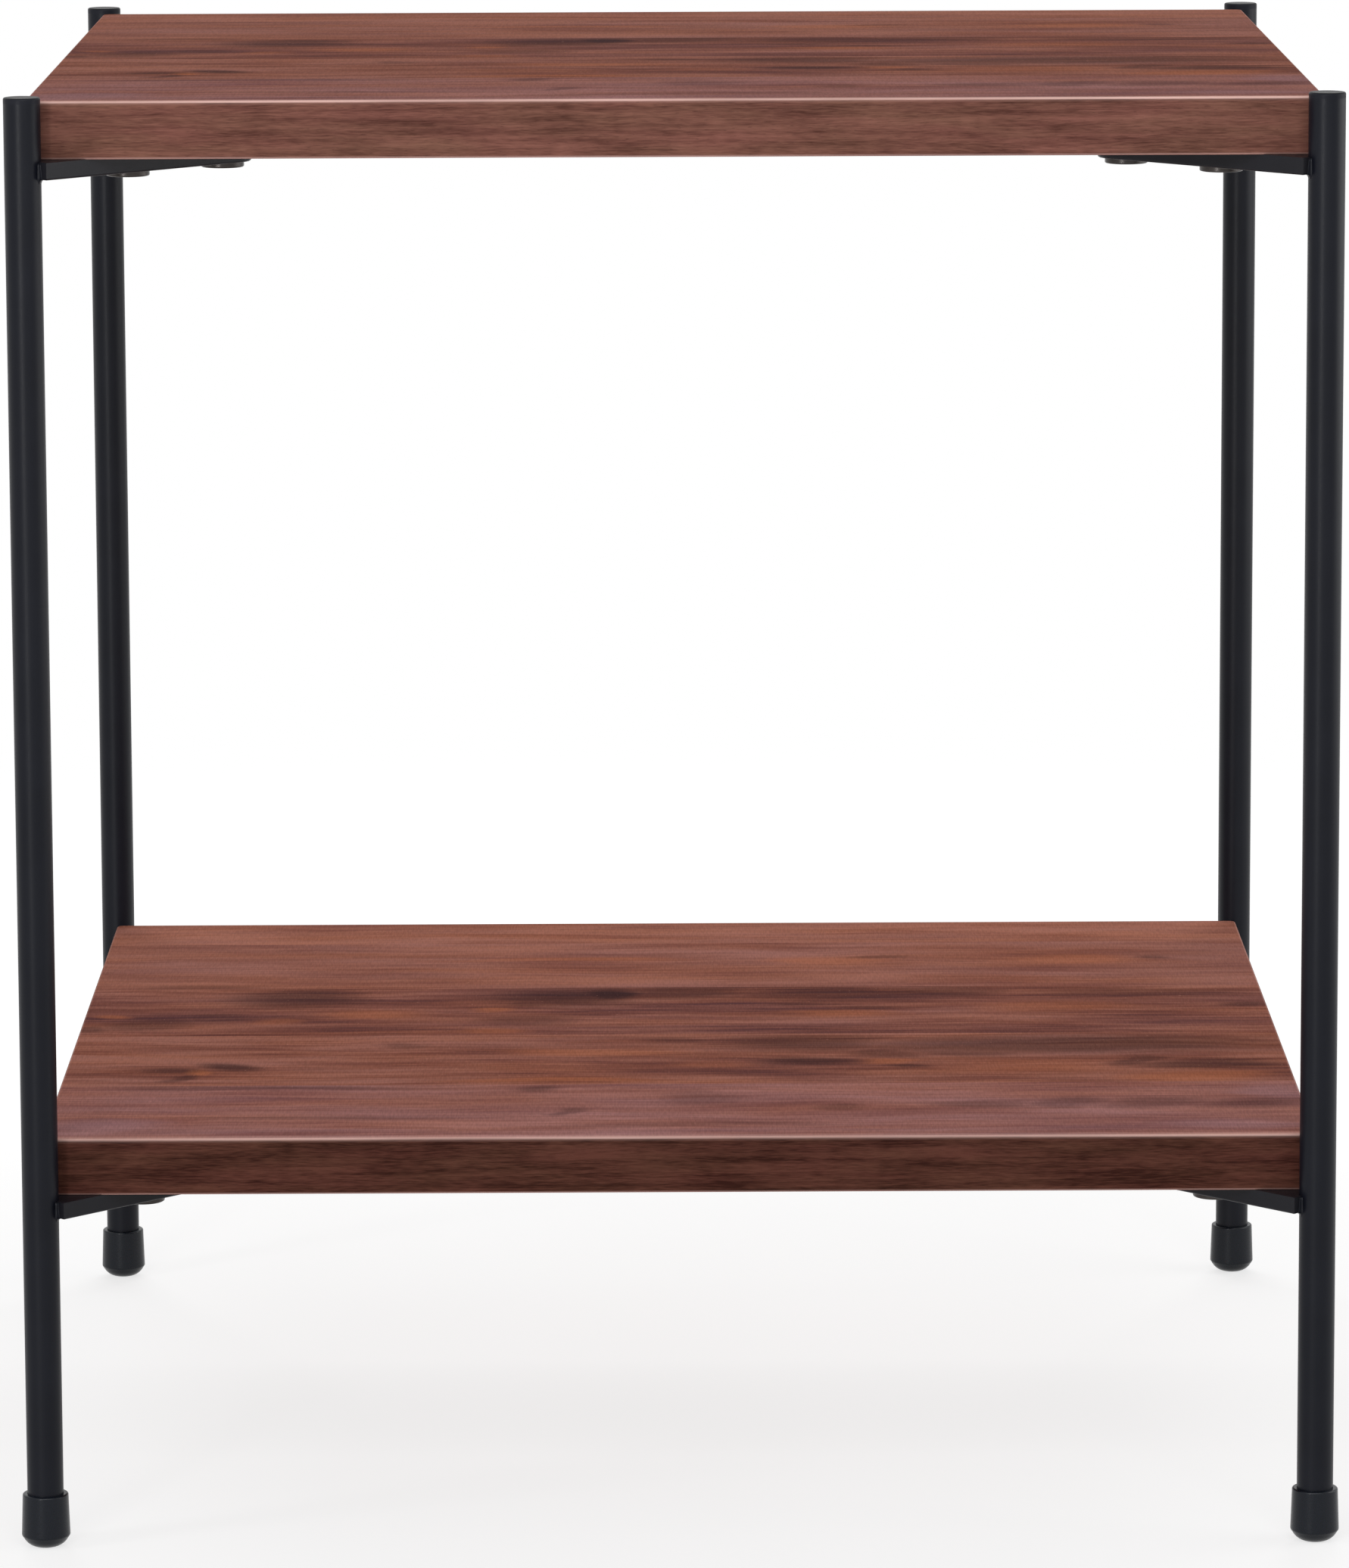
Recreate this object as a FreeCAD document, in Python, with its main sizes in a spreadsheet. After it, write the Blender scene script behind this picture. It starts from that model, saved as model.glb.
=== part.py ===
import FreeCAD, Part
import math
import os
import Sketcher

# A two-shelf nightstand that comes apart for packing.
# Two boards lie between four round steel legs. Each leg has two flat bars welded to it,
# and each bar is bolted to the underside of a board at its corner.
# Millimetres, +Z up, the front faces -Y, the origin is on the floor in the middle.

SIZES = [
    # Boards
    ("shelf_length", 444.3),
    ("shelf_depth", 394.2),
    ("shelf_thickness", 20.0),
    ("shelf_corner_radius", 2.5),
    ("shelf_edge_radius", 1.0),
    ("lower_shelf_height", 144.0),
    # Legs, outside the front and rear edges of the boards
    ("leg_height", 508.0),
    ("leg_rise", 2.0),
    ("leg_diameter", 12.7),
    ("leg_wall", 1.2),
    ("leg_clearance", 0.2),
    # Caps that close the tops of the legs
    ("cap_thickness", 2.0),
    ("cap_edge_radius", 0.7),
    ("spigot_length", 5.0),
    ("spigot_clearance", 0.05),
    # Rubber feet, pushed over the lower ends of the legs
    ("foot_height", 19.0),
    ("foot_base_diameter", 17.0),
    ("foot_rim_diameter", 16.0),
    ("foot_contact_diameter", 11.5),
    ("foot_dome_height", 4.2),
    ("foot_dome_radius", 6.0),
    ("foot_shoulder_radius", 1.0),
    ("foot_rim_radius", 0.6),
    ("foot_sole", 4.0),
    ("foot_clearance", 0.05),
    # Flat bars under the boards, along the diagonal of the corner
    ("bracket_angle", 45.0),
    ("bracket_width", 20.0),
    ("bracket_thickness", 6.0),
    ("bracket_start", 2.0),
    ("bracket_edge_radius", 0.8),
    ("bracket_weld_gap", 0.1),
    ("bolt_hole_diameter", 6.6),
    # Bolts, measured along the bar from the axis of the leg
    ("inner_bolt_distance", 47.5),
    ("outer_bolt_distance", 91.3),
    ("bolt_diameter", 5.8),
    ("bolt_head_diameter", 15.0),
    ("bolt_head_thickness", 2.0),
    ("bolt_head_radius", 0.5),
    ("bolt_grip", 11.0),
    ("socket_flats", 4.0),
    ("socket_depth", 2.6),
    # Threaded inserts in the boards
    ("insert_diameter", 10.0),
    ("insert_bore", 6.0),
    ("insert_length", 13.0),
    ("insert_clearance", 0.05),
    ("insert_end_gap", 0.5),
]

# Corners of the nightstand, each with its side along X and along Y
CORNERS = {
    "front_left": (-1, -1),
    "front_right": (1, -1),
    "rear_left": (-1, 1),
    "rear_right": (1, 1),
}

# Places worked out from the sizes
LEG_X = "sizes.shelf_length / 2"
LEG_Y = "(sizes.shelf_depth / 2 + sizes.leg_clearance + sizes.leg_diameter / 2)"
UPPER_TOP = "(sizes.leg_height - sizes.leg_rise)"
LOWER_TOP = "sizes.lower_shelf_height"
BOLT_PLACES = ("sizes.inner_bolt_distance", "sizes.outer_bolt_distance")
LEVELS = {
    "upper": f"({UPPER_TOP} - sizes.shelf_thickness)",
    "lower": f"({LOWER_TOP} - sizes.shelf_thickness)",
}

UP = FreeCAD.Vector(0, 0, 1)
TOLERANCE = 0.001

doc = FreeCAD.newDocument("nightstand")
sheet = doc.addObject("Spreadsheet::Sheet", "sizes")
parts = {}


def fill_sheet():
    for row, (name, value) in enumerate(SIZES, start=1):
        sheet.set(f"A{row}", name)
        sheet.set(f"B{row}", str(value))
        sheet.setAlias(f"B{row}", name)
    doc.recompute()


def value_of(expression):
    return float(sheet.evalExpression(expression))


def new_body(name):
    body = doc.addObject("PartDesign::Body", name)
    body.Label = name
    body.AllowCompound = True
    parts[name] = body
    return body


def place(body, x="0", y="0", z="0", turn=0):
    body.Placement = FreeCAD.Placement(FreeCAD.Vector(), FreeCAD.Rotation(UP, turn))
    body.setExpression("Placement.Base.x", x)
    body.setExpression("Placement.Base.y", y)
    body.setExpression("Placement.Base.z", z)


def new_sketch(body, name, level="0"):
    # Lies on the body's own XY plane, lifted to the level
    sketch = body.newObject("Sketcher::SketchObject", f"{body.Name}_{name}")
    for feature in body.Origin.OriginFeatures:
        if feature.Role == "XY_Plane":
            sketch.AttachmentSupport = [(feature, "")]
    sketch.MapMode = "FlatFace"
    sketch.setExpression("AttachmentOffset.Base.z", level)
    return sketch


def bind(sketch, kind, *where, size):
    # Adds a dimension that follows the sheet
    index = sketch.addConstraint(Sketcher.Constraint(kind, *where, value_of(size)))
    sketch.setExpression(f"Constraints[{index}]", size)


def bind_point(sketch, geometry, point, x, y):
    bind(sketch, "DistanceX", -1, 1, geometry, point, size=x)
    if y == "0":
        sketch.addConstraint(Sketcher.Constraint("PointOnObject", geometry, point, -1))
    else:
        bind(sketch, "DistanceY", -1, 1, geometry, point, size=y)


def add_circle(sketch, diameter, x="0", y="0"):
    centre = FreeCAD.Vector(value_of(x), value_of(y), 0)
    circle = Part.Circle(centre, UP, value_of(diameter) / 2)
    index = sketch.addGeometry(circle, False)
    bind(sketch, "Diameter", index, size=diameter)
    if x == "0":
        sketch.addConstraint(Sketcher.Constraint("Coincident", index, 3, -1, 1))
    else:
        bind_point(sketch, index, 3, x, y)
    return index


def add_rectangle(sketch, length, depth):
    half_length = value_of(length) / 2
    half_depth = value_of(depth) / 2
    corners = [(-1, -1), (1, -1), (1, 1), (-1, 1)]
    points = [FreeCAD.Vector(sx * half_length, sy * half_depth, 0) for sx, sy in corners]
    for start, end in zip(points, points[1:] + points[:1]):
        sketch.addGeometry(Part.LineSegment(start, end), False)
    for side in range(4):
        sketch.addConstraint(Sketcher.Constraint("Coincident", side, 2, (side + 1) % 4, 1))
    for side, kind in enumerate(("Horizontal", "Vertical", "Horizontal", "Vertical")):
        sketch.addConstraint(Sketcher.Constraint(kind, side))
    sketch.addConstraint(Sketcher.Constraint("Symmetric", 0, 1, 2, 1, -1, 1))
    bind(sketch, "DistanceX", 0, 1, 0, 2, size=length)
    bind(sketch, "DistanceY", 1, 1, 1, 2, size=depth)


def add_hexagon(sketch, flats, x):
    radius = f"{flats} / sqrt(3)"
    guide = add_circle(sketch, f"2 * {radius}", x)
    sketch.toggleConstruction(guide)
    centre = FreeCAD.Vector(value_of(x), 0, 0)
    points = []
    for step in range(7):
        turn = FreeCAD.Rotation(UP, 360 / 6 * step)
        points.append(centre + turn.multVec(FreeCAD.Vector(value_of(radius), 0, 0)))
    first = guide + 1
    for start, end in zip(points, points[1:]):
        sketch.addGeometry(Part.LineSegment(start, end), False)
    for side in range(6):
        line = first + side
        following = first + (side + 1) % 6
        sketch.addConstraint(Sketcher.Constraint("Coincident", line, 2, following, 1))
        sketch.addConstraint(Sketcher.Constraint("PointOnObject", line, 1, guide))
        if side:
            sketch.addConstraint(Sketcher.Constraint("Equal", first, line))
    sketch.addConstraint(Sketcher.Constraint("PointOnObject", first, 1, -1))


def pad(body, name, sketch, length, down=False):
    feature = body.newObject("PartDesign::Pad", f"{body.Name}_{name}")
    feature.Profile = sketch
    feature.Reversed = down
    feature.setExpression("Length", length)


def pocket(body, name, sketch, depth, up=True):
    doc.recompute()
    feature = body.newObject("PartDesign::Pocket", f"{body.Name}_{name}")
    feature.Profile = sketch
    feature.Reversed = up
    feature.setExpression("Length", depth)


def fillet(body, name, radius, wanted):
    doc.recompute()
    base = body.Tip
    names = []
    for number, edge in enumerate(base.Shape.Edges, start=1):
        if wanted(edge):
            names.append(f"Edge{number}")
    feature = body.newObject("PartDesign::Fillet", f"{body.Name}_{name}")
    feature.Base = (base, names)
    feature.setExpression("Radius", radius)


def is_upright(edge):
    low, high = edge.Vertexes[0].Point, edge.Vertexes[-1].Point
    flat_distance = math.hypot(high.x - low.x, high.y - low.y)
    return flat_distance < TOLERANCE < abs(high.z - low.z)


def lies_at(edge, height):
    box = edge.BoundBox
    return abs(box.ZMin - height) < TOLERANCE and abs(box.ZMax - height) < TOLERANCE


def is_ring(edge, height, diameter):
    # The bounding box of a curve is loose, so the ring is known by its own radius
    if not lies_at(edge, height) or not isinstance(edge.Curve, Part.Circle):
        return False
    return abs(edge.Curve.Radius - diameter / 2) < TOLERANCE


def make_shelf(name, top):
    body = new_body(name)
    outline = new_sketch(body, "outline")
    add_rectangle(outline, "sizes.shelf_length", "sizes.shelf_depth")
    pad(body, "board", outline, "sizes.shelf_thickness")
    fillet(body, "corners", "sizes.shelf_corner_radius", is_upright)
    thickness = value_of("sizes.shelf_thickness")
    fillet(body, "edges", "sizes.shelf_edge_radius",
           lambda edge: lies_at(edge, 0) or lies_at(edge, thickness))
    bores = new_sketch(body, "bores")
    bore_diameter = "(sizes.insert_diameter + 2 * sizes.insert_clearance)"
    for side_x, side_y in CORNERS.values():
        for distance in BOLT_PLACES:
            x = f"{side_x} * ({LEG_X} - {distance} * cos(sizes.bracket_angle))"
            y = f"{side_y} * ({LEG_Y} - {distance} * sin(sizes.bracket_angle))"
            add_circle(bores, bore_diameter, x, y)
    pocket(body, "insert_bores", bores, "(sizes.insert_length + sizes.insert_end_gap)")
    place(body, z=f"{top} - sizes.shelf_thickness")


def make_leg(corner, x, y):
    body = new_body(f"leg_{corner}")
    section = new_sketch(body, "section")
    add_circle(section, "sizes.leg_diameter")
    add_circle(section, "(sizes.leg_diameter - 2 * sizes.leg_wall)")
    pad(body, "tube", section, "(sizes.leg_height - sizes.cap_thickness - sizes.foot_sole)")
    place(body, x, y, "sizes.foot_sole")


def make_cap(corner, x, y):
    body = new_body(f"leg_cap_{corner}")
    disc = new_sketch(body, "disc")
    add_circle(disc, "sizes.leg_diameter")
    pad(body, "top", disc, "sizes.cap_thickness")
    spigot = new_sketch(body, "spigot")
    wall_and_clearance = "2 * (sizes.leg_wall + sizes.spigot_clearance)"
    add_circle(spigot, f"(sizes.leg_diameter - {wall_and_clearance})")
    pad(body, "plug", spigot, "sizes.spigot_length", down=True)
    height = value_of("sizes.cap_thickness")
    diameter = value_of("sizes.leg_diameter")
    fillet(body, "rim", "sizes.cap_edge_radius", lambda edge: is_ring(edge, height, diameter))
    place(body, x, y, "sizes.leg_height - sizes.cap_thickness")


def add_cone(body, name, lower_diameter, upper_diameter, height, level="0"):
    cone = body.newObject("PartDesign::AdditiveCone", f"{body.Name}_{name}")
    cone.setExpression("Radius1", f"{lower_diameter} / 2")
    cone.setExpression("Radius2", f"{upper_diameter} / 2")
    cone.setExpression("Height", height)
    cone.setExpression("Placement.Base.z", level)


def make_foot(corner, x, y):
    # A tapered cup on a low dome with a small flat under it
    contact, dome = "sizes.foot_contact_diameter", "sizes.foot_dome_height"
    widest, rim, top = "sizes.foot_base_diameter", "sizes.foot_rim_diameter", "sizes.foot_height"
    body = new_body(f"foot_{corner}")
    add_cone(body, "dome", contact, widest, dome)
    add_cone(body, "cone", widest, rim, f"({top} - {dome})", dome)
    fillet(body, "contact", "sizes.foot_dome_radius",
           lambda edge: is_ring(edge, 0, value_of(contact)))
    fillet(body, "shoulder", "sizes.foot_shoulder_radius",
           lambda edge: is_ring(edge, value_of(dome), value_of(widest)))
    fillet(body, "rim", "sizes.foot_rim_radius",
           lambda edge: is_ring(edge, value_of(top), value_of(rim)))
    mouth = new_sketch(body, "mouth", "sizes.foot_height")
    add_circle(mouth, "(sizes.leg_diameter + 2 * sizes.foot_clearance)")
    pocket(body, "cup", mouth, "(sizes.foot_height - sizes.foot_sole)", up=False)
    place(body, x, y)


def add_bar_outline(sketch):
    # The bar runs along X from its square end to its round end, centred on the outer bolt
    half = value_of("sizes.bracket_width / 2")
    start = value_of("sizes.bracket_start")
    end = value_of("sizes.outer_bolt_distance")
    round_end = Part.Circle(FreeCAD.Vector(end, 0, 0), UP, half)
    near, far = FreeCAD.Vector(start, -half, 0), FreeCAD.Vector(end, -half, 0)
    other_near, other_far = FreeCAD.Vector(start, half, 0), FreeCAD.Vector(end, half, 0)
    sketch.addGeometry(Part.LineSegment(near, far), False)
    sketch.addGeometry(Part.ArcOfCircle(round_end, -math.pi / 2, math.pi / 2), False)
    sketch.addGeometry(Part.LineSegment(other_far, other_near), False)
    sketch.addGeometry(Part.LineSegment(other_near, near), False)
    sketch.addConstraint(Sketcher.Constraint("Tangent", 0, 2, 1, 1))
    sketch.addConstraint(Sketcher.Constraint("Tangent", 1, 2, 2, 1))
    sketch.addConstraint(Sketcher.Constraint("Coincident", 2, 2, 3, 1))
    sketch.addConstraint(Sketcher.Constraint("Coincident", 3, 2, 0, 1))
    sketch.addConstraint(Sketcher.Constraint("Horizontal", 0))
    sketch.addConstraint(Sketcher.Constraint("Horizontal", 2))
    sketch.addConstraint(Sketcher.Constraint("Symmetric", 3, 1, 3, 2, -1))
    bind(sketch, "DistanceY", 3, 2, 3, 1, size="sizes.bracket_width")
    bind(sketch, "DistanceX", -1, 1, 1, 3, size="sizes.outer_bolt_distance")
    bind(sketch, "DistanceX", -1, 1, 3, 1, size="sizes.bracket_start")


def make_bracket(name, x, y, z, turn):
    body = new_body(name)
    outline = new_sketch(body, "outline")
    add_bar_outline(outline)
    pad(body, "bar", outline, "sizes.bracket_thickness")
    fillet(body, "lower_edge", "sizes.bracket_edge_radius", lambda edge: lies_at(edge, 0))
    cuts = new_sketch(body, "cuts")
    for distance in BOLT_PLACES:
        add_circle(cuts, "sizes.bolt_hole_diameter", distance)
    add_circle(cuts, "(sizes.leg_diameter + 2 * sizes.bracket_weld_gap)")
    pocket(body, "holes_and_cope", cuts, "sizes.bracket_thickness")
    place(body, x, y, f"{z} - sizes.bracket_thickness", turn)


def make_bolts(name, x, y, z, turn):
    body = new_body(name)
    heads = new_sketch(body, "heads")
    shanks = new_sketch(body, "shanks")
    sockets = new_sketch(body, "sockets", "-sizes.bolt_head_thickness")
    for distance in BOLT_PLACES:
        add_circle(heads, "sizes.bolt_head_diameter", distance)
        add_circle(shanks, "sizes.bolt_diameter", distance)
        add_hexagon(sockets, "sizes.socket_flats", distance)
    pad(body, "head_discs", heads, "sizes.bolt_head_thickness", down=True)
    pad(body, "shafts", shanks, "(sizes.bracket_thickness + sizes.bolt_grip)")
    level = -value_of("sizes.bolt_head_thickness")
    diameter = value_of("sizes.bolt_head_diameter")
    fillet(body, "head_edges", "sizes.bolt_head_radius", lambda edge: is_ring(edge, level, diameter))
    pocket(body, "hex_sockets", sockets, "sizes.socket_depth")
    place(body, x, y, f"{z} - sizes.bracket_thickness", turn)


def make_inserts(name, x, y, z, turn):
    body = new_body(name)
    rings = new_sketch(body, "rings")
    for distance in BOLT_PLACES:
        add_circle(rings, "sizes.insert_diameter", distance)
        add_circle(rings, "sizes.insert_bore", distance)
    pad(body, "sleeves", rings, "sizes.insert_length")
    place(body, x, y, z, turn)


def inward_turn(side_x, side_y):
    # Direction of a bar in plan, from the leg towards the middle of the board
    angle = math.radians(value_of("sizes.bracket_angle"))
    return math.degrees(math.atan2(-side_y * math.sin(angle), -side_x * math.cos(angle)))


def make_nightstand():
    make_shelf("top_shelf", UPPER_TOP)
    make_shelf("bottom_shelf", LOWER_TOP)
    for corner, (side_x, side_y) in CORNERS.items():
        x = f"{side_x} * {LEG_X}"
        y = f"{side_y} * {LEG_Y}"
        turn = inward_turn(side_x, side_y)
        make_leg(corner, x, y)
        make_cap(corner, x, y)
        make_foot(corner, x, y)
        for level, underside in LEVELS.items():
            make_bracket(f"bracket_{level}_{corner}", x, y, underside, turn)
            make_bolts(f"bolts_{level}_{corner}", x, y, underside, turn)
            make_inserts(f"inserts_{level}_{corner}", x, y, underside, turn)
    doc.recompute()


def check_model():
    for item in doc.Objects:
        if "Invalid" in item.State or "Error" in item.State:
            raise RuntimeError(f"{item.Name} did not build: {item.State}")
        if item.TypeId == "PartDesign::Pocket":
            if item.Shape.Volume > item.BaseFeature.Shape.Volume - TOLERANCE:
                raise RuntimeError(f"{item.Name} cuts nothing")
    for name, body in parts.items():
        if body.Shape.isNull() or not body.Shape.isValid():
            raise RuntimeError(f"{name} has no valid shape")


def write_parts():
    os.makedirs("parts", exist_ok=True)
    for name, body in parts.items():
        body.Shape.exportStep(f"parts/{name}.step")
        print(name, len(body.Shape.Solids), "solid(s)", round(body.Shape.Volume, 1), "mm3")


fill_sheet()
make_nightstand()
check_model()
write_parts()
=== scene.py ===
import math

import bmesh
import bpy
from mathutils import Matrix, Vector


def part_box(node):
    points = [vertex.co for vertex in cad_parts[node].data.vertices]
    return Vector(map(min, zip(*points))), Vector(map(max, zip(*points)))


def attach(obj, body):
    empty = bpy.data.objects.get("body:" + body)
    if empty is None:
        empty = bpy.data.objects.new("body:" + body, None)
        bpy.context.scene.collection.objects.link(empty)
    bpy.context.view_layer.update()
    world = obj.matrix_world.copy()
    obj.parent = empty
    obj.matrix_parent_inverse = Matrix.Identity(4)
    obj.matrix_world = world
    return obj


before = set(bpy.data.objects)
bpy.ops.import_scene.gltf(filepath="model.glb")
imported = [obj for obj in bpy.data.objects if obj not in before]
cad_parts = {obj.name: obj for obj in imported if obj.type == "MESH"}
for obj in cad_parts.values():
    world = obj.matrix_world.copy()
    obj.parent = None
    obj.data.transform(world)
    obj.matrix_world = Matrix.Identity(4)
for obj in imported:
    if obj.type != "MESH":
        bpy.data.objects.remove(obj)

# Looks of a two-shelf nightstand: walnut-look boards, satin black steel legs and bars, rubber feet.
# Metres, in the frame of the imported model: +X right, +Y back, +Z up, the floor at 0.

# Camera, fitted to the edges of the boards and legs in the photo: degrees, and mm for the lens
CAMERA_PLACE = (-0.00457, -2.89426, 0.73872)
CAMERA_YAW = 0.0792
CAMERA_PITCH = 9.2038
CAMERA_ROLL = 0.2399
CAMERA_LENS = 181.696
CAMERA_SHIFT_Y = -0.06
CAMERA_CLIP = 100.0

# Lamps: name, place, aim, width and height of the panel, brightness at the aim, seen in gloss
LAMPS = [
    ("lamp_front_top", (0.0, -1.50, 1.15), (0.0, 0.0, 0.25), (1.6, 0.6), 0.45, True),
    ("lamp_overhead", (0.0, 0.10, 1.90), (0.0, 0.0, 0.50), (1.6, 1.2), 0.07, True),
    ("lamp_rear", (0.0, 1.60, 1.00), (0.0, 0.05, 0.20), (1.9, 0.6), 0.84, False),
    ("lamp_left", (-1.50, -0.85, 0.62), (0.0, 0.0, 0.30), (0.30, 0.9), 0.20, False),
    ("lamp_strip", (-1.05, -2.50, 0.42), (0.0, 0.0, 0.30), (0.36, 0.8), 0.17, True),
    ("lamp_right", (1.55, -0.05, 0.62), (0.0, 0.0, 0.30), (1.2, 0.9), 0.32, True),
]
# Watts of a lamp of brightness 1 that stands one metre from its aim
LAMP_UNIT = 10.0
WORLD_LEVEL = 0.25
WHITE = (1.0, 1.0, 1.0, 1.0)

# Floor: half its width, where its shadows fade out, its grey, and how much they are lifted
FLOOR_HALF = 20.0
FLOOR_FADE = (0.55, 1.5)
FLOOR_GREY = 0.80
FLOOR_LIFT = 0.72

MM = 0.001

# Noise values that get the first and the second colour, and the height of fine bumps
NOISE_RANGE = (0.3, 0.7)
BUMP_HEIGHT = 0.0001

# Boards, with planks that run along x and are counted from the front edge
BOARD_HALF = 0.197
UPPER_TOP = 0.506
LOWER_TOP = 0.144
PLANK_WIDTH = 0.088
PLANK_SEAM = 0.0006
PLANK_SEED = 5.37
HUE_SEED = 2.6

# Planks: brightness of the figure, its strength, and the tint of the plank; the bluish tint of the
# front plank is a painted sheen
PLANK_TONES_AND_SHEEN = [
    # The front plank, whose bluish tint is a painted sheen
    (0.078, 0.86, (268, 282, 308)),
    (0.080, 1.32, (255, 257, 260)),
    (0.014, 1.34, (255, 259, 266)),
    (0.104, 0.84, (258, 262, 268)),
    (0.112, 0.80, (264, 267, 269)),
]

# Grain of the upper and under faces: length and width of a wave, in metres
TOP_WAVE = (0.075, 0.045)
TOP_BROAD = (0.110, 0.030)
TOP_WIDE = (0.066, 0.0120)
TOP_MIDDLE = (0.056, 0.0042)
TOP_FINE = (0.040, 0.0013)
TOP_HUE = (0.085, 0.016)
TOP_SHARES = (0.40, 0.32, 0.34, 0.32)
TOP_BEND = 0.013
FINE_DETAIL = (2.0, 0.6)

# Grain of the edge faces: length and width of a wave, in metres, and the seed of its noise
EDGE_WAVE = (0.035, 0.020, 6.4)
EDGE_PATCHES = (0.030, 0.0075, 3.7)
EDGE_BANDS = (0.060, 0.0021, 8.1)
EDGE_SHORT = (0.0058, 0.00055, 5.9)
EDGE_HUE = (0.040, 0.0060, 9.3)
EDGE_PORES = (0.0030, 0.00040, 37.0)
EDGE_SHARES = (0.50, 0.52, 0.54)
EDGE_BEND = 0.0015
LOWER_EDGE_CONTRAST = 0.4

# Small texture over the grain: length and width, in metres
TICKS = (0.00060, 0.0060)
FLECKS = (0.0013, 0.0022)

# Finish of the wood: gloss, range of roughness, and strength and height of the bump
WOOD_GLOSS = 0.015
WOOD_ROUGHNESS = (0.76, 0.84)
WOOD_BUMP = (0.15, 0.0002)

# Steps: start and end and, where they aren't 0 and 1, the values there
LOWER_STEP = (0.25, 0.20)
PORE_STEP = (0.62, 0.74, 0.0, 0.34)
TICK_STEP = (0.25, 0.75, 0.89, 1.09)
FLECK_STEP = (0.70, 0.80, 0.0, 0.30)
SIDE_STEP = (0.55, 0.75)
EDGE_STEP = (0.80, 0.60)
LEVEL_STEP = (0.6, 0.8)
ROUNDING_LOW = (0.05, 0.55)
ROUNDING_HIGH = (0.9995, 0.92)
UNDER_HIGH = (-0.15, -0.50)
UNDER_LOW = (-0.995, -0.90)

# Paler edges of the boards, part wear and part painted highlight and sheen: length, width and seed
# of a noise, steps, and two shares
WORN = (0.060, 0.060, 4.4)
HIGHLIGHT_ENDS = (0.10, 0.50, 0.85, 0.28)
HIGHLIGHT_WEAR = (0.30, 0.65, 0.62, 1.0)
HIGHLIGHT_LEFT = (-0.24, 0.24, 0.84, 1.0)
SHEEN_FACE = (0.0018, 0.0008, 0.0, 0.08)
SHEEN_TOP = (-0.1915, -0.1968, 0.0, 0.26)
HIGHLIGHT_LOWER = 0.62
HIGHLIGHT_UNDER = 0.26

# Colours of the wood, and of the painted shade, highlight and sheen on it, from 0 to 255
GRAIN_COLOURS = [
    (0.30, (84, 50, 49)),
    (0.42, (106, 63, 54)),
    (0.50, (122, 74, 62)),
    (0.58, (135, 85, 70)),
    (0.70, (151, 99, 84)),
]
UPPER_EDGE = (111, 75, 67)
# The lower board's edge faces are darker as painted shade under the upper board
LOWER_EDGE_SHADED = (77, 47, 40)
DARK_PORE = (48, 30, 27)
PALE_FLECK = (180, 130, 113)
# Part wear, part painted highlight and sheen on the rounded edges and beside them
EDGE_WEAR_AND_HIGHLIGHT = (236, 195, 185)
DARK_MARK = (43, 26, 29)
# The colour of the pale bluish marks, a painted sheen
PAINTED_SHEEN_MARK = (150, 116, 122)
WARM_MARK = (166, 100, 69)

# Factors that the colours are multiplied by
EDGE_SHADES = [
    (0.26, (0.44, 0.40, 0.40, 1.0)),
    (0.50, (0.90, 0.88, 0.86, 1.0)),
    (0.74, (1.32, 1.34, 1.30, 1.0)),
]
COOL_TINT = (0.95, 1.00, 1.10, 1.0)
WARM_TINT = (1.05, 1.00, 0.90, 1.0)
OLIVE_TINT = (0.98, 1.02, 0.93, 1.0)
RED_TINT = (1.05, 0.97, 0.97, 1.0)

# Marks in the grain, and marks of painted sheen: where they end and where they are full, as shares
# of their half size
MARK_REACH = 1.40
MARK_CORE = 0.35
# How far two noises push the marks across the grain, in metres, and how much more along it
SWAY_BROAD = 0.018
SWAY_WIDE = 0.008
SWAY_ALONG = 2.0
# Each mark, in mm: x, y, half length, half width, and its strength
DARK_MARKS = [
    (-143, 48, 24, 18, 0.55), (-196, 0, 18, 10, 0.45), (-214, -6, 8, 6, 0.50),
    (-176, 10, 12, 9, 0.30), (-183, 69, 22, 8, 0.30), (-43, 47, 34, 18, 0.60),
    (-57, 37, 12, 9, 0.50), (-29, 52, 14, 12, 0.85), (0, 55, 24, 12, 0.50), (54, 51, 44, 15, 0.35),
    (44, 32, 16, 4, 0.40), (69, 26, 14, 4, 0.40), (-52, 7, 20, 11, 0.35), (96, 55, 28, 11, 0.45),
    (177, 54, 48, 9, 0.35), (215, 31, 10, 4, 0.50), (-186, -84, 13, 6, 0.55),
    (-180, -97, 5, 5, 0.50), (-161, -76, 12, 10, 0.72), (-100, -40, 8, 7, 0.30),
    (49, -37, 38, 16, 0.55), (45, -72, 18, 9, 0.65), (78, -56, 15, 11, 0.45), (80, -81, 9, 4, 0.50),
    (-4, -33, 15, 7, 0.35), (145, -41, 80, 17, 0.60), (111, -54, 24, 10, 0.45),
    (166, -72, 9, 9, 0.50), (194, -79, 28, 9, 0.60), (-142, -114, 66, 4, 0.40),
    (-124, -163, 54, 4, 0.30), (-37, -154, 6, 6, 0.40), (8, -133, 14, 14, 0.30),
    (-51, -117, 9, 5, 0.45), (53, -152, 9, 6, 0.35), (13, -177, 68, 4, 0.25),
    (110, -145, 24, 8, 0.40), (141, -143, 14, 9, 0.42), (170, -143, 18, 9, 0.40),
    (201, -147, 21, 7, 0.40), (80, 126, 10, 4, 0.40), (182, 121, 8, 4, 0.40),
]
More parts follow.
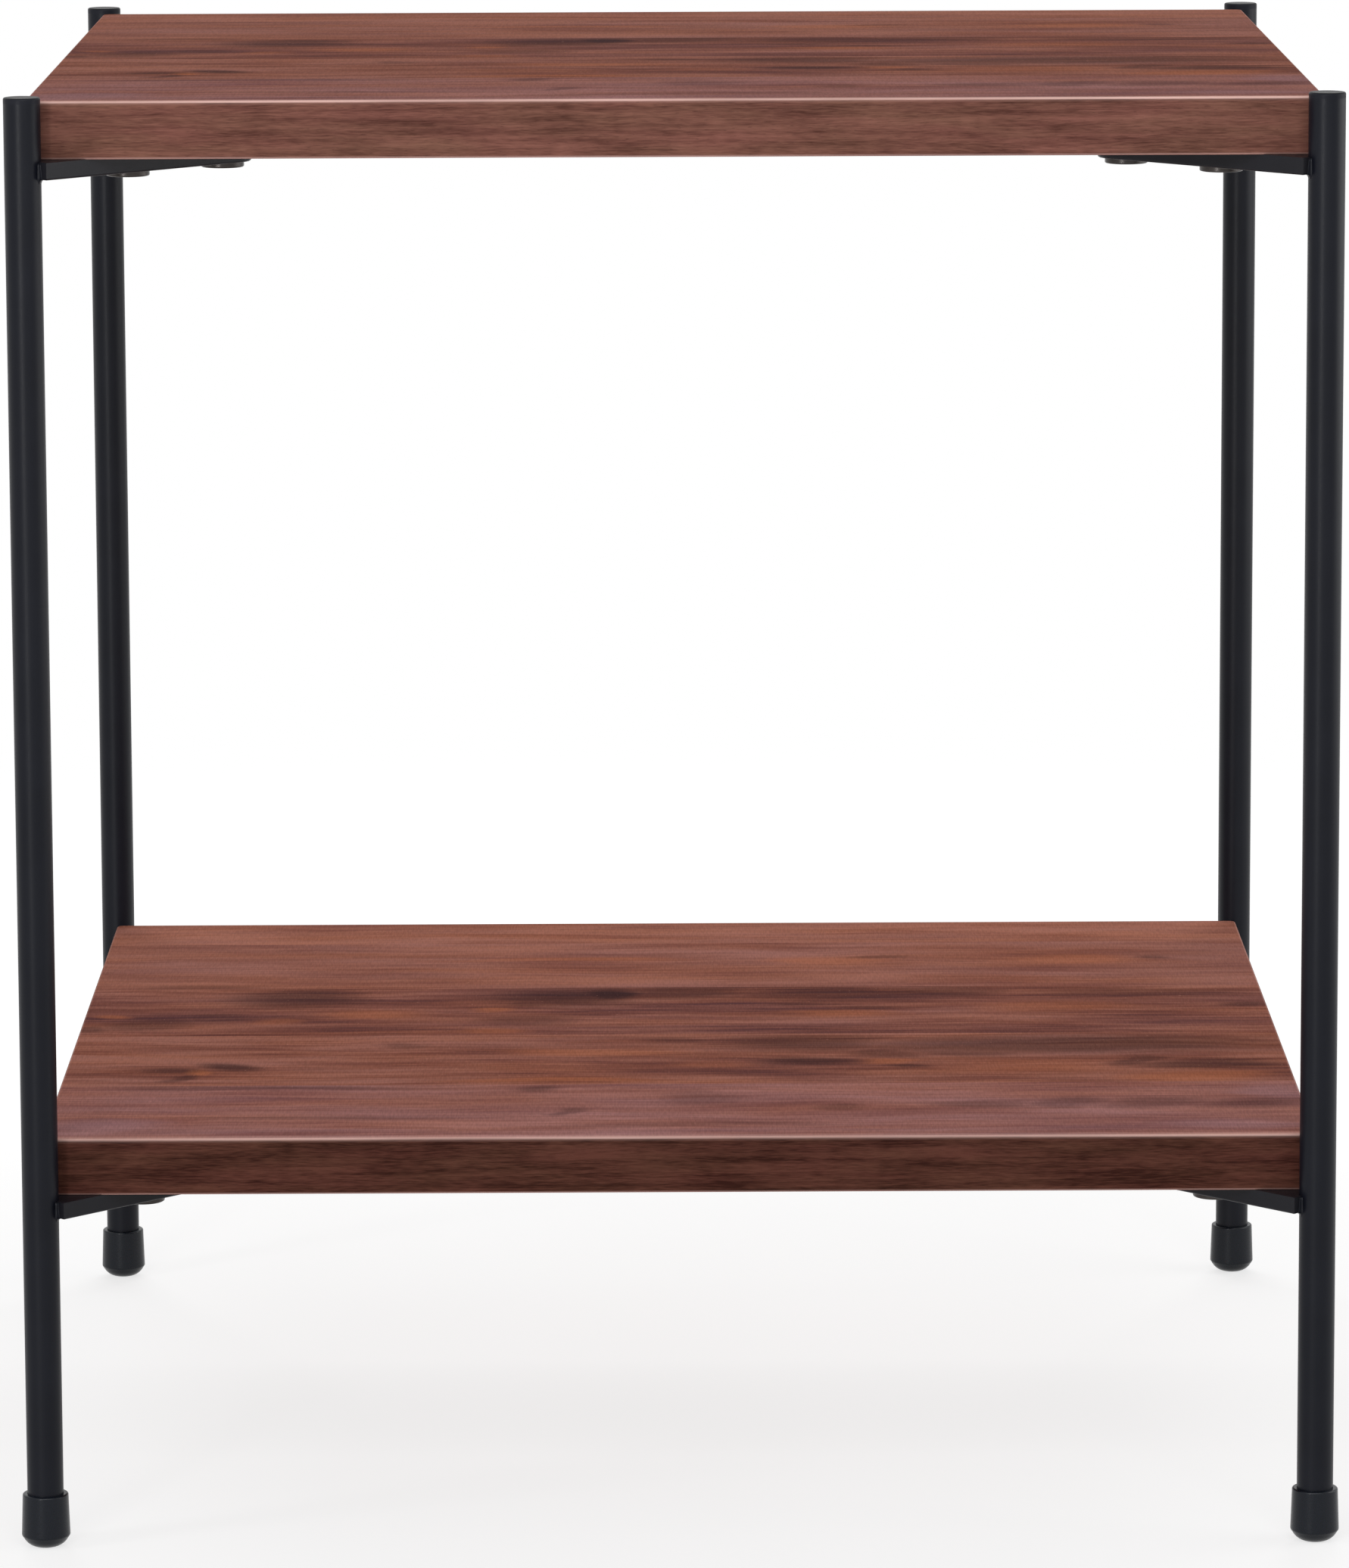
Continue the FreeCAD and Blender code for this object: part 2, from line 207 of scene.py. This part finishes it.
WARM_MARKS = [
    (-177, -88, 5, 6, 0.70), (-217, 12, 7, 5, 0.50), (-115, 18, 20, 8, 0.45), (-152, 4, 9, 5, 0.35),
    (-35, -53, 36, 6, 0.40), (-45, -101, 36, 4, 0.45), (8, -78, 17, 8, 0.25),
    (-43, 121, 42, 4, 0.45), (60, 120, 22, 9, 0.50), (61, 17, 26, 4, 0.45), (-73, 24, 9, 4, 0.50),
    (-69, -14, 13, 6, 0.40), (126, -81, 36, 12, 0.30), (183, -101, 25, 8, 0.55),
    (141, 28, 30, 9, 0.35), (149, 117, 27, 8, 0.45), (73, -72, 11, 6, 0.45),
]
# Pale marks: painted sheen near the front edge and the ends of the boards
PAINTED_SHEEN_MARKS = [
    (-206, -178, 24, 12, 0.40), (-150, -186, 60, 5, 0.25), (40, -188, 110, 4, 0.20),
    (212, -128, 14, 14, 0.35), (196, -182, 34, 9, 0.30),
]

# Powder coat: scale, detail and roughness of two noises, then its finish
COAT_GRAIN = (2600.0, 2.0, 0.55)
COAT_CLOUD = (60.0, 2.0, 0.5)
COAT_ROUGHNESS = (0.34, 0.44)
COAT_BUMP = 0.08
# Where the painted shade on the faces that look up starts and is full
COAT_SHADED_TOP_STEP = (0.5, 0.9)

# Weld fillets between the bars and the legs
BAR_START = 0.002
COPE_RADIUS = 0.00645
LEG_RADIUS = 0.00635
WELD_UNDER = 0.0018
WELD_UP_LEG = 0.0010
WELD_UP_BAR = 0.0022
WELD_SINK = 0.0004
WELD_TOP_GAP = 0.0004
WELD_TOP_SIZE = 0.6
WELD_CLIMB_STEPS = 5
WELD_TURN_STEPS = 6
WELD_ROUND_STEPS = 16
WELD_SECTION_STEPS = 8

# Corners, with their sides in x and y
CORNERS = {
    "front_left": (-1, -1),
    "front_right": (1, -1),
    "rear_left": (-1, 1),
    "rear_right": (1, 1),
}
LEVELS = ("upper", "lower")


def linear(colour):
    """Turns a colour from 0 to 255 per channel into the linear values that shaders take."""
    values = []
    for part in colour:
        share = part / 255
        values.append(share / 12.92 if share <= 0.04045 else ((share + 0.055) / 1.055) ** 2.4)
    return (*values, 1.0)


class Shader:
    """The node tree of a material or world, built step by step."""

    def __init__(self, owner, output="ShaderNodeOutputMaterial"):
        owner.use_nodes = True
        self.owner = owner
        self.tree = owner.node_tree
        self.tree.nodes.clear()
        self.output = self.tree.nodes.new(output)

    def node(self, kind, **settings):
        made = self.tree.nodes.new(kind)
        for name, value in settings.items():
            setattr(made, name, value)
        return made

    def feed(self, socket, value):
        if isinstance(value, bpy.types.NodeSocket):
            self.tree.links.new(value, socket)
        else:
            socket.default_value = value

    def math(self, operation, *values):
        made = self.node("ShaderNodeMath", operation=operation)
        for socket, value in zip(made.inputs, values):
            self.feed(socket, value)
        return made.outputs[0]

    def step(self, value, start, end, low=0.0, high=1.0):
        """Goes smoothly from low to high as value goes from start to end."""
        made = self.node("ShaderNodeMapRange", interpolation_type="SMOOTHSTEP")
        for socket, number in zip(made.inputs, (value, start, end, low, high)):
            self.feed(socket, number)
        return made.outputs[0]

    def mix(self, factor, first, second, blend="MIX"):
        made = self.node("ShaderNodeMix", data_type="RGBA", blend_type=blend)
        self.feed(made.inputs["Factor"], factor)
        sockets = [s for s in made.inputs if s.type == "RGBA"]
        self.feed(sockets[0], first)
        self.feed(sockets[1], second)
        return [s for s in made.outputs if s.type == "RGBA"][0]

    def blend_value(self, factor, first, second):
        made = self.node("ShaderNodeMix", data_type="FLOAT")
        sockets = [s for s in made.inputs if s.type == "VALUE" and s.enabled]
        for socket, value in zip(sockets, (factor, first, second)):
            self.feed(socket, value)
        return [s for s in made.outputs if s.enabled][0]

    def combine(self, x, y, z):
        made = self.node("ShaderNodeCombineXYZ")
        for socket, value in zip(made.inputs, (x, y, z)):
            self.feed(socket, value)
        return made.outputs[0]

    def split(self, vector):
        made = self.node("ShaderNodeSeparateXYZ")
        self.feed(made.inputs[0], vector)
        return made.outputs

    def noise(self, vector, scale, detail, roughness):
        made = self.node("ShaderNodeTexNoise")
        self.feed(made.inputs["Vector"], vector)
        made.inputs["Scale"].default_value = scale
        made.inputs["Detail"].default_value = detail
        made.inputs["Roughness"].default_value = roughness
        return made.outputs["Fac"]

    def ramp(self, value, stops, interpolation="LINEAR"):
        made = self.node("ShaderNodeValToRGB")
        made.color_ramp.interpolation = interpolation
        elements = made.color_ramp.elements
        while len(elements) < len(stops):
            elements.new(0.5)
        for element, (place, colour) in zip(elements, stops):
            element.position = place
            element.color = colour
        self.feed(made.inputs[0], value)
        return made.outputs[0]

    def place(self):
        return self.node("ShaderNodeTexCoord").outputs["Object"]

    def normal(self):
        return self.node("ShaderNodeNewGeometry").outputs["Normal"]

    def bump(self, height, strength, distance):
        made = self.node("ShaderNodeBump")
        made.inputs["Strength"].default_value = strength
        made.inputs["Distance"].default_value = distance
        self.feed(made.inputs["Height"], height)
        return made.outputs[0]

    def diffuse(self, colour):
        made = self.node("ShaderNodeBsdfDiffuse")
        made.inputs["Color"].default_value = colour
        return made.outputs[0]

    def background(self, strength):
        made = self.node("ShaderNodeBackground")
        made.inputs["Color"].default_value = WHITE
        made.inputs["Strength"].default_value = strength
        return made.outputs[0]

    def mix_surfaces(self, factor, first, second):
        made = self.node("ShaderNodeMixShader")
        for socket, value in zip(made.inputs, (factor, first, second)):
            self.feed(socket, value)
        return made.outputs[0]

    def show(self, surface):
        self.feed(self.output.inputs["Surface"], surface)

    def surface(self, **values):
        made = self.node("ShaderNodeBsdfPrincipled")
        for name, value in values.items():
            self.feed(made.inputs[name.replace("_", " ")], value)
        self.show(made.outputs[0])


def new_shader(name):
    return Shader(bpy.data.materials.new(name))


def mark_mask(shader, x, y, marks):
    """Lays soft oval marks over each other at the given places."""
    total = 0.0
    for centre_x, centre_y, half_length, half_width, strength in marks:
        along = shader.math("MULTIPLY_ADD", x, 1 / (half_length * MM), -centre_x / half_length)
        across = shader.math("MULTIPLY_ADD", y, 1 / (half_width * MM), -centre_y / half_width)
        along = shader.math("MULTIPLY", along, along)
        reach = shader.math("SQRT", shader.math("MULTIPLY_ADD", across, across, along))
        mark = shader.step(reach, MARK_REACH, MARK_CORE, 0.0, strength)
        total = shader.math("MAXIMUM", total, mark)
    return total


def planks(shader, y):
    """The number of the plank under a point, from 0 at the front edge."""
    from_edge = shader.math("ADD", y, BOARD_HALF)
    return shader.math("FLOOR", shader.math("DIVIDE", from_edge, PLANK_WIDTH))


def pick(shader, number, values):
    """Gives each plank its own colour out of a list."""
    last = len(values)
    stops = [(k / last, value) for k, value in enumerate(values)]
    share = shader.math("DIVIDE", shader.math("ADD", number, 0.5), last)
    return shader.ramp(share, stops, "CONSTANT")


def plank_marks(shader, marks, swayed_x, swayed_y, y):
    """Marks that stop at the seams of their own plank."""
    total = 0.0
    for number in range(len(PLANK_TONES_AND_SHEEN)):
        front = -BOARD_HALF + number * PLANK_WIDTH
        rear = front + PLANK_WIDTH
        own = [mark for mark in marks if front <= mark[1] * MM < rear]
        if not own:
            continue
        inside = shader.step(y, front - PLANK_SEAM, front + PLANK_SEAM)
        before_rear = shader.step(y, rear + PLANK_SEAM, rear - PLANK_SEAM)
        inside = shader.math("MULTIPLY", inside, before_rear)
        mask = shader.math("MULTIPLY", mark_mask(shader, swayed_x, swayed_y, own), inside)
        total = shader.math("ADD", total, mask)
    return total


def streaks(shader, along, across, length, width, seed, detail=2.0, roughness=0.5):
    """Noise drawn out along the grain, with waves of this length and width in metres."""
    stretched = shader.combine(
        shader.math("DIVIDE", along, length),
        shader.math("DIVIDE", across, width),
        seed,
    )
    return shader.noise(stretched, 1.0, detail, roughness)


def around_zero(shader, noise, size):
    return shader.math("MULTIPLY", shader.math("SUBTRACT", noise, 0.5), size)


def weigh(shader, layers, shares):
    """Adds up noise layers, each taken around its middle and weighed by its share."""
    total = 0.5
    for layer, share in zip(layers, shares):
        total = shader.math("ADD", total, around_zero(shader, layer, share))
    return total


def two_tone(shader, noise, first, second):
    """Goes from the first to the second colour or factor with a noise."""
    start, end = NOISE_RANGE
    return shader.ramp(noise, [(start, first), (end, second)])


def spread(shader, noise, values):
    """Goes from the first to the second value with a noise."""
    return shader.step(noise, *NOISE_RANGE, *values)


def plank_colour(shader, number, figure):
    """The colour of the figure, in each plank's own brightness, strength and tint; the front
    plank's tint holds a painted sheen.
    """
    # The ramp holds half of each strength
    levels = [(0.5 + lift, strength / 2, 0.0, 1.0) for lift, strength, _ in PLANK_TONES_AND_SHEEN]
    levels = shader.split(pick(shader, number, levels))
    strength = shader.math("MULTIPLY", levels[1], 2.0)
    figure = shader.math("ADD", around_zero(shader, figure, strength), levels[0])
    colour = shader.ramp(figure, [(share, linear(shade)) for share, shade in GRAIN_COLOURS])
    tint = pick(shader, number, [linear(tint) for _, _, tint in PLANK_TONES_AND_SHEEN])
    return shader.mix(1.0, colour, tint, "MULTIPLY")


def top_colour(shader, x, y, fine):
    """The printed planks of an upper or under face, with marks of painted sheen among the marks of
    the figure.
    """
    number = planks(shader, y)
    seed = shader.math("MULTIPLY", number, PLANK_SEED)
    wave = streaks(shader, x, y, *TOP_WAVE, seed)
    bent = shader.math("ADD", y, around_zero(shader, wave, TOP_BEND))
    broad = streaks(shader, x, bent, *TOP_BROAD, seed, detail=1.0)
    wide = streaks(shader, x, bent, *TOP_WIDE, seed)
    middle = streaks(shader, x, bent, *TOP_MIDDLE, seed)
    figure = weigh(shader, (broad, wide, middle, fine), TOP_SHARES)
    colour = plank_colour(shader, number, figure)

    hue = streaks(shader, x, bent, *TOP_HUE, shader.math("ADD", seed, HUE_SEED))
    colour = shader.mix(1.0, colour, two_tone(shader, hue, COOL_TINT, WARM_TINT), "MULTIPLY")

    sway = around_zero(shader, broad, SWAY_BROAD)
    sway = shader.math("ADD", sway, around_zero(shader, wide, SWAY_WIDE))
    swayed_x = shader.math("ADD", x, shader.math("MULTIPLY", sway, SWAY_ALONG))
    swayed_y = shader.math("ADD", y, sway)
    # The pale marks are painted sheen; the warm and dark ones are figure
    kinds = ((WARM_MARKS, WARM_MARK), (PAINTED_SHEEN_MARKS, PAINTED_SHEEN_MARK), (DARK_MARKS, DARK_MARK))
    for marks, shade in kinds:
        mask = plank_marks(shader, marks, swayed_x, swayed_y, y)
        colour = shader.mix(mask, colour, linear(shade))
    return colour


def edge_colour(shader, side, x, y, z, lower):
    """The darker, tighter grain of the four edge faces, with painted shade on those of the lower
    board.
    """
    along = shader.blend_value(side, x, y)
    wave = streaks(shader, along, z, *EDGE_WAVE)
    bent = shader.math("ADD", z, around_zero(shader, wave, EDGE_BEND))
    patches = streaks(shader, along, bent, *EDGE_PATCHES)
    bands = streaks(shader, along, bent, *EDGE_BANDS)
    short = streaks(shader, along, bent, *EDGE_SHORT)
    figure = weigh(shader, (patches, bands, short), EDGE_SHARES)
    contrast = shader.math("ADD", shader.math("MULTIPLY", lower, LOWER_EDGE_CONTRAST), 1.0)
    figure = shader.math("ADD", around_zero(shader, figure, contrast), 0.5)
    # The lower board's edge faces get the darker colour: painted shade
    tone = shader.mix(lower, linear(UPPER_EDGE), linear(LOWER_EDGE_SHADED))
    colour = shader.mix(1.0, tone, shader.ramp(figure, EDGE_SHADES), "MULTIPLY")
    hue = streaks(shader, along, bent, *EDGE_HUE)
    colour = shader.mix(1.0, colour, two_tone(shader, hue, OLIVE_TINT, RED_TINT), "MULTIPLY")
    pores = streaks(shader, along, bent, *EDGE_PORES, detail=1.0)
    return shader.mix(shader.step(pores, *PORE_STEP), colour, linear(DARK_PORE))


def fibres(shader, base, edge, x, y, z):
    """Adds short ticks across the grain and pale flecks to the upper and under faces."""
    ticks = streaks(shader, x, y, *TICKS, z, detail=1.0)
    shade = shader.blend_value(edge, shader.step(ticks, *TICK_STEP), 1.0)
    base = shader.mix(1.0, base, shader.combine(shade, shade, shade), "MULTIPLY")
    flecks = streaks(shader, x, y, *FLECKS, z, detail=1.0)
    flat = shader.math("SUBTRACT", 1.0, edge)
    mask = shader.math("MULTIPLY", shader.step(flecks, *FLECK_STEP), flat)
    return shader.mix(mask, base, linear(PALE_FLECK))


def between(shader, value, first, second):
    """1 where a value is past both steps, 0 elsewhere."""
    return shader.math("MULTIPLY", shader.step(value, *first), shader.step(value, *second))


def rounding_wear_and_highlight(shader, x, y, upward, sideways, lower):
    """How pale the upper rounding is, part wear and part painted highlight: less at the ends, on
    the lower board and to the left.
    """
    worn = streaks(shader, x, y, *WORN)
    shares = (
        shader.step(sideways, *HIGHLIGHT_ENDS),
        shader.step(worn, *HIGHLIGHT_WEAR),
        shader.blend_value(lower, 1.0, HIGHLIGHT_LOWER),
        shader.step(x, *HIGHLIGHT_LEFT),
    )
    wear_and_highlight = between(shader, upward, ROUNDING_LOW, ROUNDING_HIGH)
    for share in shares:
        wear_and_highlight = shader.math("MULTIPLY", wear_and_highlight, share)
    return wear_and_highlight


def painted_sheen_strips(shader, y, z, upward, edge, lower):
    """How pale the two narrow strips beside the upper rounding are, as a painted sheen."""
    top = shader.blend_value(lower, UPPER_TOP, LOWER_TOP)
    below_top = shader.math("SUBTRACT", top, z)
    face = shader.math("MULTIPLY", shader.step(below_top, *SHEEN_FACE), edge)
    level = shader.step(upward, *LEVEL_STEP)
    above = shader.math("MULTIPLY", shader.step(y, *SHEEN_TOP), level)
    return shader.math("ADD", face, above)


def walnut():
    shader = new_shader("walnut_laminate")
    x, y, z = shader.split(shader.place())
    sideways, _, upward = shader.split(shader.normal())
    sideways = shader.math("ABSOLUTE", sideways)
    side = shader.step(sideways, *SIDE_STEP)
    edge = shader.step(shader.math("ABSOLUTE", upward), *EDGE_STEP)
    lower = shader.step(z, *LOWER_STEP)

    fine = streaks(shader, x, y, *TOP_FINE, z, *FINE_DETAIL)
    top = top_colour(shader, x, y, fine)
    base = shader.mix(edge, top, edge_colour(shader, side, x, y, z, lower))
    base = fibres(shader, base, edge, x, y, z)
    under = between(shader, upward, UNDER_HIGH, UNDER_LOW)
    # Paler edges, part wear and part painted highlight and sheen
    wear_and_highlight_places = (
        rounding_wear_and_highlight(shader, x, y, upward, sideways, lower),
        painted_sheen_strips(shader, y, z, upward, edge, lower),
        shader.math("MULTIPLY", under, HIGHLIGHT_UNDER),
    )
    for mask in wear_and_highlight_places:
        base = shader.mix(mask, base, linear(EDGE_WEAR_AND_HIGHLIGHT))

    shader.surface(
        Base_Color=base,
        Roughness=spread(shader, fine, WOOD_ROUGHNESS),
        Specular_IOR_Level=WOOD_GLOSS,
        Normal=shader.bump(fine, *WOOD_BUMP),
    )
    return shader.owner


def black_paint(name, gloss, dark, light, top=None):
    """Powder coat, with another colour on the faces that look up if one is given, as a painted
    shade.
    """
    shader = new_shader(name)
    grain = shader.noise(shader.place(), *COAT_GRAIN)
    cloud = shader.noise(shader.place(), *COAT_CLOUD)
    base = two_tone(shader, cloud, linear(dark), linear(light))
    if top:
        upward = shader.split(shader.normal())[2]
        base = shader.mix(shader.step(upward, *COAT_SHADED_TOP_STEP), base, linear(top))
    shader.surface(
        Base_Color=base,
        Roughness=spread(shader, grain, COAT_ROUGHNESS),
        Specular_IOR_Level=gloss,
        Normal=shader.bump(grain, COAT_BUMP, BUMP_HEIGHT),
    )
    return shader.owner


def speckled(name, grain, dark, light, roughness, bump=None, **values):
    """A material whose colour, roughness and bump follow one fine noise."""
    shader = new_shader(name)
    noise = shader.noise(shader.place(), *grain)
    if bump:
        values["Normal"] = shader.bump(noise, bump, BUMP_HEIGHT)
    shader.surface(
        Base_Color=two_tone(shader, noise, linear(dark), linear(light)),
        Roughness=spread(shader, noise, roughness),
        **values,
    )
    return shader.owner


def black_rubber():
    return speckled(
        "black_rubber",
        grain=(1500.0, 3.0, 0.6),
        dark=(7, 12, 20),
        light=(11, 16, 25),
        roughness=(0.26, 0.34),
        bump=0.03,
        Specular_IOR_Level=0.24,
    )


def black_zinc():
    return speckled(
        "black_zinc",
        grain=(1900.0, 3.0, 0.6),
        dark=(51, 46, 43),
        light=(57, 51, 48),
        roughness=(0.28, 0.34),
        bump=0.02,
        Metallic=0.50,
    )


def brass():
    return speckled(
        "machined_brass",
        grain=(900.0, 2.0, 0.5),
        dark=(186, 148, 84),
        light=(206, 168, 100),
        roughness=(0.25, 0.38),
        Metallic=1.0,
    )


def seen_rays(shader):
    """1 for rays from the camera and for reflected and transmitted ones, 0 for the rest."""
    rays = shader.node("ShaderNodeLightPath").outputs
    seen = shader.math("MAXIMUM", rays["Is Camera Ray"], rays["Is Glossy Ray"])
    return shader.math("MAXIMUM", seen, rays["Is Transmission Ray"])


def floor_finish():
    """White to the camera, with faint shadows near the nightstand, and grey to bounced light."""
    shader = new_shader("studio_floor")
    distance = shader.node("ShaderNodeVectorMath", operation="LENGTH")
    shader.feed(distance.inputs[0], shader.place())
    far = shader.step(distance.outputs["Value"], *FLOOR_FADE)
    white = shader.node("ShaderNodeEmission").outputs[0]
    lifted = shader.mix_surfaces(FLOOR_LIFT, shader.diffuse(WHITE), white)
    shown = shader.mix_surfaces(far, lifted, white)
    plain = shader.diffuse((FLOOR_GREY, FLOOR_GREY, FLOOR_GREY, 1.0))
    shader.show(shader.mix_surfaces(seen_rays(shader), plain, shown))
    return shader.owner


def make_floor():
    sides = ((-1, -1), (1, -1), (1, 1), (-1, 1))
    corners = [(x * FLOOR_HALF, y * FLOOR_HALF, 0) for x, y in sides]
    mesh = bpy.data.meshes.new("floor")
    mesh.from_pydata(corners, [], [(0, 1, 2, 3)])
    mesh.materials.append(floor_finish())
    floor = bpy.data.objects.new("floor", mesh)
    bpy.context.scene.collection.objects.link(floor)


def make_world():
    """An even grey light, which the camera and reflections see as white."""
    world = bpy.data.worlds.new("studio")
    shader = Shader(world, "ShaderNodeOutputWorld")
    light = shader.background(WORLD_LEVEL)
    shown = shader.background(1.0)
    shader.show(shader.mix_surfaces(seen_rays(shader), light, shown))
    bpy.context.scene.world = world


def make_lamp(name, place, aim, size, level, in_gloss):
    data = bpy.data.lights.new(name, "AREA")
    data.shape = "RECTANGLE"
    data.size, data.size_y = size
    away = Vector(place) - Vector(aim)
    data.energy = LAMP_UNIT * level * away.length_squared
    lamp = bpy.data.objects.new(name, data)
    lamp.location = place
    lamp.rotation_euler = away.to_track_quat("Z", "Y").to_euler()
    lamp.visible_glossy = in_gloss
    bpy.context.scene.collection.objects.link(lamp)


def make_camera():
    data = bpy.data.cameras.new("camera")
    data.lens = CAMERA_LENS
    data.shift_y = CAMERA_SHIFT_Y
    data.clip_end = CAMERA_CLIP
    camera = bpy.data.objects.new("camera", data)
    turn = Matrix.Rotation(math.radians(-CAMERA_YAW), 4, "Z")
    tilt = Matrix.Rotation(math.radians(90 - CAMERA_PITCH), 4, "X")
    roll = Matrix.Rotation(math.radians(-CAMERA_ROLL), 4, "Z")
    camera.matrix_world = Matrix.Translation(CAMERA_PLACE) @ turn @ tilt @ roll
    bpy.context.scene.collection.objects.link(camera)
    bpy.context.scene.camera = camera


class WeldPath:
    """Places along a weld, each with its corner, its line on the leg and its line on the bar."""

    def __init__(self, centre, inward, low, high):
        self.centre = centre
        self.inward = inward
        self.sideways = Vector((-inward.y, inward.x, 0))
        self.low = low
        self.high = high
        self.end_angle = math.acos(BAR_START / COPE_RADIUS)

    def radial(self, angle):
        return self.inward * math.cos(angle) + self.sideways * math.sin(angle)

    def on_leg(self, angle, height):
        return Vector((self.centre.x, self.centre.y, height)) + self.radial(angle) * LEG_RADIUS

    def station(self, angle, height, side, share, size=1.0):
        """Share goes from 0 where the weld climbs the bar's end to 1 under the bar."""
        corner = self.on_leg(angle, height)
        climb = side * (1 - share) * size * WELD_UP_LEG / LEG_RADIUS
        leg_line = self.on_leg(angle + climb, height - share * WELD_UNDER)
        outward = self.sideways * side * (1 - share) * size * WELD_UP_BAR
        bar_line = corner + outward + self.radial(angle) * share * WELD_UNDER
        return corner, leg_line, bar_line

    def climb(self, side):
        """The part on one end of the bar, from its top down."""
        angle = side * self.end_angle
        stations = []
        for k in range(WELD_CLIMB_STEPS):
            share = k / WELD_CLIMB_STEPS
            height = self.high + (self.low - self.high) * share
            size = WELD_TOP_SIZE + (1 - WELD_TOP_SIZE) * share
            stations.append(self.station(angle, height, side, 0, size))
        return stations

    def turn(self, side):
        """The part around one lower corner of the bar."""
        angle = side * self.end_angle
        shares = [k / WELD_TURN_STEPS for k in range(WELD_TURN_STEPS)]
        return [self.station(angle, self.low, side, share) for share in shares]

    def under(self):
        """The part under the bar, from one side to the other."""
        shares = [1 - 2 * k / WELD_ROUND_STEPS for k in range(WELD_ROUND_STEPS + 1)]
        return [self.station(self.end_angle * share, self.low, 0, 1) for share in shares]

    def stations(self):
        first = self.climb(1) + self.turn(1)
        last = self.climb(-1) + self.turn(-1)
        return first + self.under() + last[::-1]


def weld_section(corner, leg_line, bar_line):
    """A concave fillet from the leg to the bar, closed by a point inside the metal."""
    sink = (leg_line + bar_line - 2 * corner).normalized() * WELD_SINK
    points = []
    for k in range(WELD_SECTION_STEPS + 1):
        share = k / WELD_SECTION_STEPS
        first = leg_line.lerp(corner, share)
        points.append(first.lerp(corner.lerp(bar_line, share), share))
    points[0] = points[0] - sink
    points[-1] = points[-1] - sink
    points.append(corner - sink)
    return points


def weld_mesh(name, path):
    """A tube through the sections of the weld, closed at both ends."""
    mesh = bmesh.new()
    rings = []
    for corner, leg_line, bar_line in path.stations():
        section = weld_section(corner, leg_line, bar_line)
        rings.append([mesh.verts.new(point) for point in section])
    around = len(rings[0])
    for ring, following in zip(rings, rings[1:]):
        for step in range(around):
            after = (step + 1) % around
            mesh.faces.new((ring[step], ring[after], following[after], following[step]))
    mesh.faces.new(rings[0][::-1])
    mesh.faces.new(rings[-1])
    bmesh.ops.recalc_face_normals(mesh, faces=mesh.faces)
    data = bpy.data.meshes.new(name)
    mesh.to_mesh(data)
    mesh.free()
    for face in data.polygons:
        face.use_smooth = True
    return data


def make_weld(name, path, material):
    data = weld_mesh(name, path)
    data.materials.append(material)
    weld = bpy.data.objects.new(name, data)
    bpy.context.scene.collection.objects.link(weld)
    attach(weld, "root")


def make_welds(material):
    for corner, (side_x, side_y) in CORNERS.items():
        low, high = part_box(f"leg_{corner}")
        centre = (low + high) / 2
        inward = Vector((-side_x, -side_y, 0)).normalized()
        for level in LEVELS:
            bar_low, bar_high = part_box(f"bracket_{level}_{corner}")
            path = WeldPath(centre, inward, bar_low.z, bar_high.z - WELD_TOP_GAP)
            make_weld(f"weld_{level}_{corner}", path, material)


def paint(prefix, material):
    for name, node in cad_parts.items():
        if name.startswith(prefix):
            node.data.materials.clear()
            node.data.materials.append(material)


def set_view():
    scene = bpy.context.scene
    scene.view_settings.view_transform = "Standard"


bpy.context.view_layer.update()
make_camera()
make_world()
for lamp in LAMPS:
    make_lamp(*lamp)
make_floor()
set_view()

wood = walnut()
coat = black_paint("black_powder_coat", gloss=0.17, dark=(10, 12, 20), light=(14, 16, 24))
# A lighter copy of the coat for the bars: painted light against the shade under the boards
bar_coat_painted_lighter = black_paint("black_bar_coat_painted_lighter", gloss=0.19, dark=(18, 18, 23), light=(22, 22, 27))
# The caps are painted lighter on their sides, a painted reflection for the gloss they lack, and
# darker on top as painted shade
cap_coat_painted_light = black_paint(
    "black_cap_coat_painted_light",
    gloss=0.08,
    dark=(27, 28, 34),
    light=(31, 32, 38),
    top=(8, 9, 12),
)
paint("top_shelf", wood)
paint("bottom_shelf", wood)
# The names of the caps start with leg_ too, so they come after the legs
paint("leg_", coat)
paint("leg_cap_", cap_coat_painted_light)
paint("bracket_", bar_coat_painted_lighter)
paint("foot_", black_rubber())
paint("bolts_", black_zinc())
paint("inserts_", brass())
make_welds(coat)
